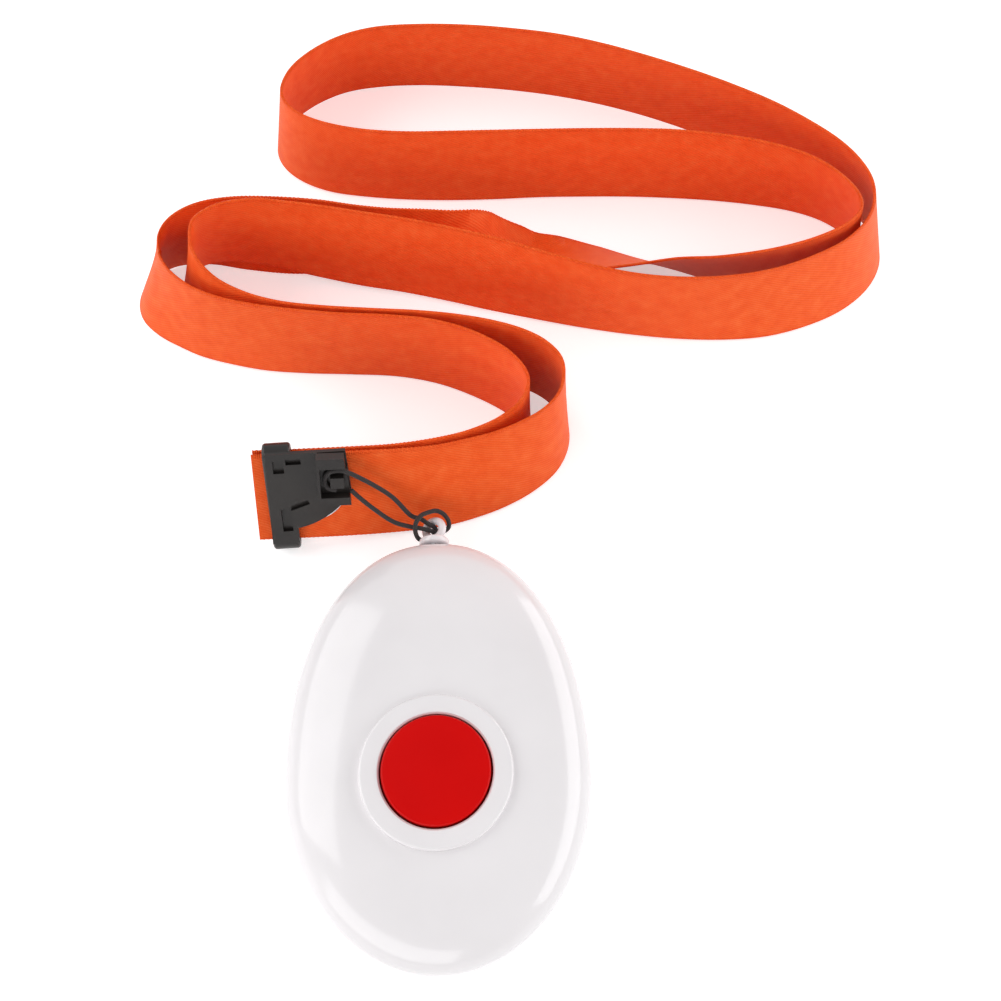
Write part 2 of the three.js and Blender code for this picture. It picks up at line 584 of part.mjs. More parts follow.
function neckRibbon() {
  const stations = ribbonStations(RIBBON_STEPS);
  const corners = [[-1, -1], [1, -1], [1, 1], [-1, 1]];
  const positions = [];
  for (const { middle, across, face } of stations) {
    for (const [a, b] of corners) {
      const corner = middle.clone().addScaledVector(across, a * RIBBON_WIDTH / 2);
      corner.addScaledVector(face, b * RIBBON_THICK / 2);
      positions.push(...corner);
    }
  }
  const index = [0, 2, 1, 0, 3, 2];
  for (let i = 0; i < stations.length - 1; i += 1) {
    for (let side = 0; side < 4; side += 1) {
      const a = 4 * i + side;
      const b = 4 * i + (side + 1) % 4;
      index.push(a, b, b + 4, a, b + 4, a + 4);
    }
  }
  const last = 4 * (stations.length - 1);
  index.push(last, last + 1, last + 2, last, last + 2, last + 3);
  const geometry = new THREE.BufferGeometry();
  geometry.setAttribute("position", new THREE.Float32BufferAttribute(positions, 3));
  geometry.setIndex(index);
  return geometry;
}

// The clip's own frame: x along the ribbon, y up its face, z out of it
const seat = ribbonStations(RIBBON_STEPS)[CLIP_AT * RIBBON_STEPS];
const clip = new THREE.Group();
clip.position.copy(seat.middle);
clip.quaternion.setFromRotationMatrix(new THREE.Matrix4().makeBasis(seat.along, seat.across, seat.face));
clip.updateMatrix();

const edge = RIBBON_WIDTH / 2 + GAP;
const discFoot = RIBBON_THICK / 2 + GAP;
const plateFoot = discFoot + DISC_THICK + GAP;
const plateTop = plateFoot + PLATE_THICK;
const slotBack = -(LAYER_STEP + RIBBON_THICK / 2 + GAP);
const clipBack = slotBack - BACK_PLATE_THICK;
const blockFoot = plateTop + GAP;

// An extruded section of the clip: drawn up and out of the ribbon's face, and run along it
function runAlong(shape, start, length) {
  const options = { depth: length, bevelEnabled: false, curveSegments: EAR_SEGMENTS };
  const geometry = new THREE.ExtrudeGeometry(shape, options);
  const axes = [new THREE.Vector3(0, 1, 0), new THREE.Vector3(0, 0, 1), new THREE.Vector3(1, 0, 0)];
  geometry.applyMatrix4(new THREE.Matrix4().makeBasis(...axes));
  geometry.translate(start, 0, 0);
  return solid(geometry);
}

function clipFrame() {
  const radius = (plateTop - clipBack) / 2;
  const middle = (plateTop + clipBack) / 2;
  const reach = edge + EAR_WALL - radius;
  const section = new THREE.Shape();
  section.absarc(reach, middle, radius, -Math.PI / 2, Math.PI / 2, false);
  section.absarc(-reach, middle, radius, Math.PI / 2, 3 * Math.PI / 2, false);
  let body = runAlong(section, CLIP_START, EAR_LENGTH);
  const plate = new THREE.Shape();
  plate.moveTo(CLIP_START, PLATE_FOOT);
  plate.lineTo(CLIP_START + EAR_LENGTH, PLATE_FOOT);
  plate.lineTo(CLIP_START + EAR_LENGTH, PLATE_NECK);
  plate.quadraticCurveTo(...PLATE_BEND, ...PLATE_NOSE);
  plate.lineTo(PLATE_SHOULDER, PLATE_TOP);
  plate.lineTo(CLIP_START, PLATE_TOP);
  body = body.add(slab(plate, plateFoot, plateTop));
  const ribTop = plateTop + RIB_HEIGHT;
  body = body.add(box(CLIP_END - RIB_WIDTH, CLIP_END, RIB_FOOT, PLATE_TOP, plateFoot, ribTop));
  const lip = edge - LIP_WIDTH;
  const ends = [CLIP_START - EAR_LENGTH, CLIP_START + 2 * EAR_LENGTH];
  body = body.subtract(box(...ends, -edge, edge, slotBack, plateFoot));
  body = body.subtract(box(...ends, -lip, lip, 2 * clipBack, slotBack + GAP));
  const floor = plateTop - RECESS_DEPTH;
  for (const [x0, x1, y0, y1] of RECESSES) {
    body = body.subtract(box(x0, x1, y0, y1, floor, 2 * plateTop));
  }
  return body;
}

function clipBackPlate() {
  const lip = edge - LIP_WIDTH - GAP;
  return box(CLIP_START, CLIP_START + EAR_LENGTH, -lip, lip, clipBack, slotBack);
}

function clipDisc() {
  return post(DISC_RADIUS, ...DISC_CENTRE, discFoot, discFoot + DISC_THICK, ROUND_SIDES);
}

function stringBlock() {
  const shape = new THREE.Shape(BLOCK_OUTLINE.map((point) => new THREE.Vector2(...point)));
  const top = blockFoot + BLOCK_HEIGHT;
  const [left, foot, head] = POCKET_BOX;
  const [x0, y0, x1, y1] = PEG_BOX;
  return slab(shape, blockFoot, top)
    .subtract(box(left, REACH, foot, head, blockFoot + POCKET_FLOOR, REACH))
    .add(box(x0, x1, y0, y1, blockFoot, top - PEG_SINK));
}

function stringLoop() {
  const inClip = PEG_TURN.map(([x, y, z]) => {
    const point = new THREE.Vector3(x, y, blockFoot + z).applyMatrix4(clip.matrix);
    return point.toArray();
  });
  const points = [
    ...UPPER_STRAND.map((point) => lay(point).toArray()), ...inClip,
    ...LOWER_STRAND.map((point) => lay(point).toArray()),
  ];
  return wire(smooth(points), STRING_DIAMETER / 2, LOOP_STEPS, STRING_SIDES);
}

function stringHitch() {
  const points = HITCH.map(([x, y, z]) => [x, WAIST_Y + RING_Y + y, WAIST_HEIGHT + z]);
  return wire(smooth(points), STRING_DIAMETER / 2, HITCH_STEPS, STRING_SIDES);
}

function piece(name, shape, material) {
  const geometry = shape.isBufferGeometry ? shape : geometryOf(shape);
  const [color, roughness, metalness] = materials[material];
  const mesh = new THREE.Mesh(geometry, new THREE.MeshStandardMaterial({ color, roughness, metalness }));
  mesh.name = name;
  return mesh;
}

const pendant = new THREE.Group();
pendant.add(
  piece("front_shell", frontShell(), "shell"),
  piece("button_cap", buttonCap(), "red"),
  piece("eyelet", eyelet(), "shell"),
  piece("back_cover", backCover(), "shell"),
  piece("case_gasket", gasket(), "gasket"),
  piece("circuit_board", circuitBoard(), "board"),
  piece("switch_body", switchBody(), "black"),
  piece("switch_plunger", switchPlunger(), "holder"),
  piece("return_spring", returnSpring(), "steel"),
  piece("battery_cell", batteryCell(), "steel"),
  piece("battery_holder", batteryHolder(), "holder"),
  piece("battery_contact", batteryContact(), "brass"),
  piece("antenna_coil", antennaCoil(), "copper"),
  piece("encoder_chip", onBoard(CHIP), "black"),
  piece("crystal_can", onBoard(CRYSTAL), "steel"),
  piece("capacitor", capacitor(), "blue"),
  piece("eyelet_retainer", eyeletRetainer(), "steel"),
);
caseScrewPlaces.forEach(([x, y], i) => {
  pendant.add(piece(`case_screw_${i + 1}`, screw(x, y, HEAD_SEAT, CASE_SCREW_LENGTH, false), "steel"));
});
boardScrewPlaces.forEach(([x, y], i) => {
  pendant.add(piece(`board_screw_${i + 1}`, screw(x, y, PART_Z, BOARD_SCREW_LENGTH, true), "steel"));
});

clip.add(
  piece("clip_frame", clipFrame(), "black"),
  piece("clip_back_plate", clipBackPlate(), "black"),
  piece("clip_disc", clipDisc(), "steel"),
  piece("string_block", stringBlock(), "black"),
);

const lanyard = new THREE.Group();
lanyard.add(
  piece("neck_ribbon", neckRibbon(), "ribbon"),
  clip,
  piece("string_loop", stringLoop(), "string"),
  piece("string_hitch", stringHitch(), "string"),
);

const callButton = new THREE.Group();
callButton.add(pendant, lanyard);

export default callButton;
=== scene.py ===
# Nurse call pendant on its neck ribbon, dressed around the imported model. Metres, +Z up.
# Profiles are pairs of radius and height, and outlines are pairs of x and y.
import bpy
import math
from mathutils import Matrix, Vector


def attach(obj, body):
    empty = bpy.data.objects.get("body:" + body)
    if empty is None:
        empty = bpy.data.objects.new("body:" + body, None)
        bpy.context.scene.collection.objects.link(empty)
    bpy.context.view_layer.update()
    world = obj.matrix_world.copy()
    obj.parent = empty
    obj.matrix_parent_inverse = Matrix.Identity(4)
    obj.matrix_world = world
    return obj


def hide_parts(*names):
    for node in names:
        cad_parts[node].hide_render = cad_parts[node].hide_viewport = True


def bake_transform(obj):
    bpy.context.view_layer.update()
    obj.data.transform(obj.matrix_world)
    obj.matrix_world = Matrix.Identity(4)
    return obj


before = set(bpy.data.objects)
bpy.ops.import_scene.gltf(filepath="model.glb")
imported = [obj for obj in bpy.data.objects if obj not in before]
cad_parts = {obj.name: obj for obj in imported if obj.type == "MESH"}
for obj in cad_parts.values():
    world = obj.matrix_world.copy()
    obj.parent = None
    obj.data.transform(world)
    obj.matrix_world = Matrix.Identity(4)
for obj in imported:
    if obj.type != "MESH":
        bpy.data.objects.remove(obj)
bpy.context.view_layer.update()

# Case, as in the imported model
CASE_WIDTH = 0.0532
CASE_ABOVE = 0.0426
CASE_BELOW = 0.0331
CASE_SHOULDER = 2.15
CASE_HEIGHT = 0.0166
WAIST_Y = -0.00785
WAIST_HEIGHT = 0.007
BACK_FLAT = 0.8
DOME_POWER = 2.7
WALL = 0.0018
SEAM_LOW = 0.006
SEAM_HIGH = 0.0063
BUTTON_Y = WAIST_Y - 0.002
HOLE_RADIUS = 0.0095
LAND_RADIUS = 0.0129
LAND_TOP = 0.0172
LAND_EDGE = 0.0005
LAND_STEPS = 5
HOLE_CHAMFER = 0.0003
SHELL_FOOT = 0.00665          # a ring just above the seam, outside the front shell
COVER_FLOOR = 0.0035          # a ring near the floor, inside the back cover
BACK_SHARES = (0.25, 0.5, 0.72)
BACK_STEPS = 16
EGG_SIDES = 192
DOME_ROWS = 44

# Button cap and case screws
CAP_PROFILE = [
    (0, 0.0136), (0.0025, 0.0136), (0.0025, 0.0156), (0.00795, 0.0156), (0.00795, 0.0133),
    (0.01045, 0.0133), (0.01045, 0.0141), (0.00915, 0.0141), (0.00915, 0.0176), (0, 0.0176),
]
CAP_CORNER = 8                # place in the profile of the corner that is rounded
CAP_EDGE = 0.0004
CASE_SCREWS = [(-0.0145, 0.019), (0.0145, 0.019), (-0.013, -0.0165), (0.013, -0.0165)]   # from the waist
SCREW_PROFILE = [(0, 0.0004), (0.002, 0.0004), (0.002, 0.0015), (0.001, 0.0015), (0.001, 0.0103), (0, 0.0115)]
BOSS_PROFILE = [(0, 0.001), (0.0036, 0.001), (0.0036, SEAM_LOW), (0, SEAM_LOW)]
BORE_PROFILE = [(0, -0.001), (0.0023, -0.001), (0.0023, 0.00165), (0.0013, 0.00165), (0.0013, 0.02), (0, 0.02)]
SCREW_SIDES = 48
DRIVE_ARM = 0.0012
DRIVE_HALF = 0.0003
DRIVE_DEPTH = 0.0009

# Eyelet
STEM_RADIUS = 0.0013
COLLAR_RADIUS = 0.00285
COLLAR_START = WAIST_Y + 0.0429
COLLAR_THICK = 0.0012
COLLAR_EDGE = 0.0003
RING_RADIUS = 0.0018
RING_WIRE = 0.00075
RING_Y = WAIST_Y + 0.04625
RING_TURN = math.radians(-25)
STEM_START = WAIST_Y + 0.038
HOLE_SLACK = 0.0003
RING_SIDES = 64
WIRE_SIDES = 24

# Lanyard
RIBBON_WIDTH = 0.02
RIBBON_THICK = 0.0006
RIBBON_FOOT = 0.0015
RIBBON_STEPS = 20
PICOT = 0.00018
RIBBON_SECTION = [            # shares of half the width and half the thickness
    (-1, 0), (-0.97, -1), (-0.6, -1), (-0.2, -1), (0.2, -1), (0.6, -1), (0.97, -1),
    (1, 0), (0.97, 1), (0.6, 1), (0.2, 1), (-0.2, 1), (-0.6, 1), (-0.97, 1),
]
LAY_TURN = math.radians(-2.5)
LAY_X = -0.00015
LAY_Y = -0.00645
STRING_DIAMETER = 0.0009
STRING_SIDES = 12
STRING_STEPS = 12
CLIP_AT = 1                   # route point of the ribbon that the clip is on
SOLID_STEP = 2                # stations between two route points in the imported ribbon

# Route of the ribbon: x, y, roll in degrees from upright, lift of its lower edge
RIBBON_ROUTE = [
    (-0.0356, 0.0491, 28, 0.0031), (-0.027, 0.0499, 28, 0.0023), (-0.018, 0.0508, 28, 0.00145),
    (-0.009, 0.0518, 27, 0.0006), (-0.001, 0.053, 26, 0.0001), (0.0055, 0.0547, 24, 0),
    (0.011, 0.0566, 21, 0), (0.016, 0.0592, 18, 0), (0.0204, 0.0626, 14, 0), (0.0232, 0.0668, 9, 0),
    (0.024, 0.0713, 5, 0), (0.0228, 0.0758, 0, 0), (0.0196, 0.0794, -2, 0), (0.015, 0.082, -3, 0),
    (0.009, 0.084, -3, 0), (0.002, 0.0854, -3, 0), (-0.006, 0.0863, -3, 0), (-0.015, 0.0868, -3, 0),
    (-0.025, 0.0872, -5, 0), (-0.034, 0.088, -8, 0), (-0.042, 0.0896, -13, 0.0005),
    (-0.0486, 0.0924, -17, 0.0016), (-0.053, 0.0968, -19, 0.003), (-0.0546, 0.1022, -18, 0.004),
    (-0.053, 0.1076, -13, 0.0046), (-0.0478, 0.1106, -4, 0.0044), (-0.041, 0.1116, 4, 0.0036),
    (-0.034, 0.1114, 8, 0.0024), (-0.027, 0.1107, 12, 0.0014), (-0.019, 0.1093, 14, 0.001),
    (-0.01, 0.1076, 14, 0.001), (0, 0.1052, 14, 0.001), (0.01, 0.1025, 13, 0.0008),
    (0.02, 0.0998, 9, 0.0003), (0.03, 0.0972, 5, 0), (0.04, 0.0952, 3, 0), (0.05, 0.0943, 4, 0),
    (0.06, 0.0946, 7, 0), (0.069, 0.0962, 11, 0), (0.0775, 0.0994, 14, 0), (0.0845, 0.1034, 16, 0),
    (0.09, 0.1088, 18, 0), (0.093, 0.115, 19, 0), (0.093, 0.1215, 17, 0), (0.0902, 0.1275, 13, 0),
    (0.0855, 0.133, 9, 0), (0.0795, 0.1382, 7, 0), (0.0725, 0.1434, 6, 0), (0.0645, 0.1483, 6, 0),
    (0.0555, 0.153, 6, 0), (0.0455, 0.1575, 6, 0), (0.035, 0.1614, 5, 0), (0.0245, 0.1643, 4, 0),
    (0.0135, 0.1662, 4, 0), (0.003, 0.1673, 4, 0), (-0.008, 0.1677, 5, 0), (-0.018, 0.167, 6, 0),
    (-0.0263, 0.1647, 9, 0), (-0.033, 0.1604, 11, 0), (-0.0378, 0.1548, 12, 0),
    (-0.0398, 0.1485, 12, 0), (-0.0386, 0.1433, 10, 0), (-0.0345, 0.1389, 8, 0), (-0.028, 0.1358, 7, 0),
    (-0.0195, 0.134, 5, 0), (-0.01, 0.1332, 5, 0), (0, 0.1332, 6, 0), (0.01, 0.1335, 6, 0),
    (0.02, 0.1339, 5, 0), (0.03, 0.1341, 5, 0), (0.04, 0.1341, 5, 0), (0.05, 0.1337, 5, 0),
    (0.06, 0.1326, 3, 0), (0.0695, 0.1308, 0, 0), (0.078, 0.1281, -5, 0), (0.0846, 0.124, -11, 0),
    (0.0888, 0.1186, -14, 0), (0.0882, 0.1128, -10, 0), (0.0834, 0.1086, -3, 0), (0.0756, 0.1059, 5, 0),
    (0.0665, 0.1048, 14, 0), (0.057, 0.1054, 24, 0), (0.048, 0.1072, 33, 0), (0.0395, 0.1085, 43, 0),
    (0.031, 0.1102, 55, 0), (0.023, 0.1115, 71, 0), (0.0155, 0.112, 100, 0), (0.008, 0.1105, 128, 0),
    (0.001, 0.1096, 150, 0), (-0.006, 0.1101, 158, 0), (-0.013, 0.1107, 163, 0),
    (-0.02, 0.1118, 166, 0), (-0.028, 0.1132, 166, 0), (-0.037, 0.1138, 164, 0),
    (-0.0454, 0.1142, 168, 0), (-0.0526, 0.1139, 178, 0), (-0.0582, 0.1121, 189, 0),
    (-0.062, 0.109, 200, 0), (-0.0638, 0.1052, 206, 0), (-0.0635, 0.1014, 207, 0),
    (-0.0611, 0.0978, 203, 0), (-0.0573, 0.0943, 197, 0), (-0.0523, 0.0911, 193, 0),
    (-0.046, 0.0887, 190, 0), (-0.0385, 0.087, 189, 0), (-0.03, 0.086, 187, 0),
    (-0.021, 0.0854, 185, 0), (-0.011, 0.0849, 185, 0), (-0.002, 0.0834, 187, 0),
    (0.006, 0.0803, 188, 0), (0.0126, 0.076, 186, 0), (0.0164, 0.0708, 180, 0), (0.016, 0.065, 168, 0),
    (0.0123, 0.0603, 161, 0), (0.0064, 0.0569, 157, 0), (-0.0005, 0.0548, 155, 0),
    (-0.009, 0.0532, 153, 0.0001), (-0.018, 0.0521, 152, 0.0008), (-0.027, 0.05115, 152, 0.00165),
    (-0.0356, 0.05035, 152, 0.00245),
]

# String, in the lay of the ribbon, on the clip and round the ring
LOWER_STRAND = [(-0.0154, 0.0483, 0.0136), (-0.0127, 0.0469, 0.0114), (-0.0094, 0.0454, 0.0094)]
UPPER_STRAND = [(-0.0095, 0.0493, 0.012), (-0.013, 0.0504, 0.0152)]
PEG_START = [(0.0095, 0.0035, 0.00115)]
PEG_TURN = [
    (0.0093, 0.0074, 0.00115), (0.0072, 0.0081, 0.00115), (0.0054, 0.0076, 0.00115),
    (0.00465, 0.0059, 0.00115), (0.0052, 0.0043, 0.00115), (0.0067, 0.0037, 0.00115),
]
HITCH = [
    (-0.0043, 0, 0.0018), (-0.0022, -0.0002, 0.0012), (-0.0001, -0.0005, 0), (-0.0004, -0.001, -0.0014),
    (-0.0018, -0.0015, -0.0015), (-0.003, -0.0016, -0.0003), (-0.0035, -0.0009, 0.0015),
    (-0.0033, 0.0003, 0.0027), (-0.0023, 0.0018, 0.0028), (-0.0008, 0.0029, 0.0019),
    (0.0006, 0.0035, 0.0011), (0.0019, 0.0031, 0.0004), (0.0028, 0.002, -0.0005),
    (0.0027, 0.001, -0.0015), (0.0014, 0.0003, -0.0019), (0.0004, 0.0004, -0.0011),
    (0.0001, 0.0005, 0), (-0.0012, 0.001, 0.00095), (-0.0026, 0.0019, 0.00135), (-0.0044, 0.00245, 0.0019),
]

# Clip, along the ribbon, up its face and out of it
CLIP_START = -0.0071
CLIP_END = 0.003
EAR_END = -0.0019
EAR_REACH = 0.01185
EDGE = 0.0103
PLATE_FOOT = 0.00125
PLATE_FACE = 0.00225
PLATE_HEAD = 0.0112
PLATE_TAIL = -0.0093
SLOT_BACK = -0.00205
CLIP_BACK = -0.00285
LIP = 0.0092
RIB_WIDTH = 0.00065
RIB_HEIGHT = 0.0005
RECESS_FLOOR = 0.00145
BLOCK_FOOT = 0.00255
BLOCK_FACE = 0.0049
POCKET_FLOOR = 0.0004
DISC_RADIUS = 0.0073
DISC_CENTRE = (0.00125, 0.0021)
DISC_FOOT = 0.00065
DISC_THICK = 0.0003
FRAME_SHIFT = 0.0008          # the clip sits a little off square on the ribbon
FRAME_TURN = math.radians(1.6)
PLATE_BEND = [(EAR_END, -0.0058), (0.0042, -0.0047), (0.0088, 0.0018)]
PLATE_CORNER = 0.0082
PLATE_SETBACK = 0.0006
RIB_START = 0.001
RECESSES = [
    (-0.0053, -0.0033, 0.007, 0.0098), (-0.0029, -0.0001, 0.0088, 0.01), (-0.0048, -0.0029, -0.0064, -0.0012),
]
SLANT = (-0.0048, 0.0003, -0.0014, -0.0003)
SLANT_SHIFT = 0.0009
SLANT_TURN = math.radians(20)
BACK_PLATE_HALF = 0.0089
BLOCK_OUTLINE = [(0.0033, 0.001), (0.0094, 0.001), (0.0084, 0.0113), (0.0033, 0.0113)]
RIM_OUTLINE = [
    (0.0033, 0.001), (0.0094, 0.001), (0.00923, 0.0027), (0.00385, 0.0027),
    (0.00385, 0.0091), (0.0086, 0.0091), (0.0084, 0.0113), (0.0033, 0.0113),
]
PEG = (0.0057, 0.0082, 0.0046, 0.0069)
PEG_DROP = 0.0003
FAR = 0.02                    # well outside the clip

# Camera, light and floor
CAMERA_PLACE = (0.00892, -0.05089, 0.202)
CAMERA_TILT = math.radians(26)
CAMERA_LENS = 40
WORLD_LIGHT = 0.35
FLOOR_HALF = 0.9
FLOOR_WHITE = 0.9
FLOOR_GLOW = 0.5
LAMPS = [                     # name, place, target, size, power
    ("key", (-0.5, 0.22, 0.42), (0, 0.03, 0), (0.7, 0.5), 2.5),
    ("side", (0.5, 0.06, 0.2), (0, 0, 0), (1.0, 0.26), 2.3),
    ("front", (-0.35, -0.6, 0.3), (0, 0.05, 0), (1.0, 0.4), 2.5),
]


def camera():
    data = bpy.data.cameras.new("camera")
    data.lens = CAMERA_LENS
    data.sensor_width = 36
    data.clip_start = 0.005
    data.clip_end = 20
    obj = bpy.data.objects.new("camera", data)
    obj.location = CAMERA_PLACE
    obj.rotation_euler = (CAMERA_TILT, 0, LAY_TURN)
    bpy.context.scene.collection.objects.link(obj)
    bpy.context.scene.camera = obj


def catmull(points, per_span):
    """Points of a smooth curve through all the given ones, with the ends carried on in line."""
    count = len(points)
    size = len(points[0])
    first = [2 * points[0][k] - points[1][k] for k in range(size)]
    last = [2 * points[-1][k] - points[-2][k] for k in range(size)]
    padded = [first] + [list(point) for point in points] + [last]
    out = []
    for i in range(count - 1):
        p0, p1, p2, p3 = padded[i:i + 4]
        for step in range(per_span):
            t = step / per_span
            out.append([
                0.5 * (2 * p1[k] + (p2[k] - p0[k]) * t + (2 * p0[k] - 5 * p1[k] + 4 * p2[k] - p3[k]) * t ** 2
                       + (3 * p1[k] - p0[k] - 3 * p2[k] + p3[k]) * t ** 3)
                for k in range(size)
            ])
    out.append(list(points[-1]))
    return out


def lay(point):
    x, y, z = point
    turned = Matrix.Rotation(LAY_TURN, 3, "Z") @ Vector((x, y, z))
    return turned + Vector((LAY_X, LAY_Y, 0))


def ribbon_stations(per_span):
    middles = []
    angles = []
    for x, y, roll, lift in catmull(RIBBON_ROUTE, per_span):
        angle = math.radians(roll)
        z = math.hypot(RIBBON_WIDTH / 2 * math.cos(angle), RIBBON_FOOT) + lift
        middles.append(lay((x, y, z)))
        angles.append(angle)
    stations = []
    last = len(middles) - 1
    for i, (middle, angle) in enumerate(zip(middles, angles)):
        along = (middles[min(i + 1, last)] - middles[max(i - 1, 0)]).normalized()
        side = Vector((-along.y, along.x, 0)).normalized()
        across = side * math.sin(angle) + Vector((0, 0, math.cos(angle)))
        across = (across - along * across.dot(along)).normalized()
        stations.append((middle, along, across, along.cross(across)))
    return stations


def new_object(name, vertices, faces):
    mesh = bpy.data.meshes.new(name)
    mesh.from_pydata([tuple(v) for v in vertices], [], faces)
    mesh.validate()
    mesh.update()
    obj = bpy.data.objects.new(name, mesh)
    bpy.context.scene.collection.objects.link(obj)
    return obj


def smooth_by_angle(obj, degrees=35):
    mesh = obj.data
    mesh.polygons.foreach_set("use_smooth", [True] * len(mesh.polygons))
    mesh.set_sharp_from_angle(angle=math.radians(degrees))
    mesh.update()
    return obj


def full_turn(steps):
    return [2 * math.pi * i / steps for i in range(steps)]


def skin(name, rows, start=None, end=None, joined=False):
    """A surface over closed rings of points. start and end are middle points that close it."""
    sides = len(rows[0])
    vertices = [point for row in rows for point in row]
    faces = []
    pairs = list(zip(range(len(rows) - 1), range(1, len(rows))))
    if joined:
        pairs.append((len(rows) - 1, 0))
    for a, b in pairs:
        for i in range(sides):
            j = (i + 1) % sides
            faces.append((a * sides + i, a * sides + j, b * sides + j, b * sides + i))
    for point, row, flip in ((start, 0, True), (end, len(rows) - 1, False)):
        if point is None:
            continue
        vertices.append(point)
        top = len(vertices) - 1
        for i in range(sides):
            j = (i + 1) % sides
            face = (row * sides + i, row * sides + j, top)
            faces.append(face[::-1] if flip else face)
    return new_object(name, vertices, faces)


def turned(name, profile, middle=(0, 0), sides=96):
    """A solid turned about a vertical line. The profile runs from the foot's middle to the top's middle."""
    x, y = middle
    rows = [
        [(x + radius * math.cos(a), y + radius * math.sin(a), height) for a in full_turn(sides)]
        for radius, height in profile[1:-1]
    ]
    return skin(name, rows, start=(x, y, profile[0][1]), end=(x, y, profile[-1][1]))


def rounded(profile, place, radius, steps=4):
    """Puts a quarter round of the given radius at one outer corner of a turned profile."""
    (x0, z0), (x1, z1), (x2, z2) = profile[place - 1:place + 2]
    before = Vector((x0 - x1, z0 - z1)).normalized() * radius
    after = Vector((x2 - x1, z2 - z1)).normalized() * radius
    corner = Vector((x1, z1))
    centre = corner + before + after
    arc = []
    for i in range(steps + 1):
        t = i / steps * math.pi / 2
        point = centre - after * math.cos(t) - before * math.sin(t)
        arc.append((point.x, point.y))
    return profile[:place] + arc + profile[place + 1:]


def boolean(obj, other, operation):
    """Cuts or joins two closed meshes, and removes the second object."""
    modifier = obj.modifiers.new("boolean", "BOOLEAN")
    modifier.operation = operation
    modifier.solver = "EXACT"
    modifier.object = other
    bake(obj)
    bpy.data.objects.remove(other)
    return obj


def bake(obj):
    depsgraph = bpy.context.evaluated_depsgraph_get()
    mesh = bpy.data.meshes.new_from_object(obj.evaluated_get(depsgraph))
    obj.modifiers.clear()
    obj.data = mesh
    return obj


def flat_normals(obj):
    """Lets the large faces set the shading, so that flat faces stay flat beside rounded edges."""
    modifier = obj.modifiers.new("normals", "WEIGHTED_NORMAL")
    modifier.keep_sharp = True
    modifier.weight = 100
    return bake(obj)


def bevelled(obj, width, segments=3, degrees=40):
    modifier = obj.modifiers.new("bevel", "BEVEL")
    modifier.width = width
    modifier.segments = segments
    modifier.limit_method = "ANGLE"
    modifier.angle_limit = math.radians(degrees)
    modifier.use_clamp_overlap = True
    bake(obj)
    smooth_by_angle(obj, degrees)
    return flat_normals(obj)


def triangulated(obj):
    obj.modifiers.new("triangles", "TRIANGULATE")
    return bake(obj)


def box(name, x0, x1, y0, y1, z0, z1):
    vertices = [(x, y, z) for z in (z0, z1) for x, y in ((x0, y0), (x1, y0), (x1, y1), (x0, y1))]
    faces = [(3, 2, 1, 0), (4, 5, 6, 7), (0, 1, 5, 4), (1, 2, 6, 5), (2, 3, 7, 6), (3, 0, 4, 7)]
    return new_object(name, vertices, faces)


def slab(name, outline, z0, z1):
    """A flat plate of any outline, drawn counterclockwise."""
    count = len(outline)
    vertices = [(x, y, z0) for x, y in outline] + [(x, y, z1) for x, y in outline]
    faces = [tuple(reversed(range(count))), tuple(range(count, 2 * count))]
    for i in range(count):
        j = (i + 1) % count
        faces.append((i, j, count + j, count + i))
    return new_object(name, vertices, faces)


def move_mesh(obj, matrix):
    obj.data.transform(matrix)
    obj.data.update()
    return obj


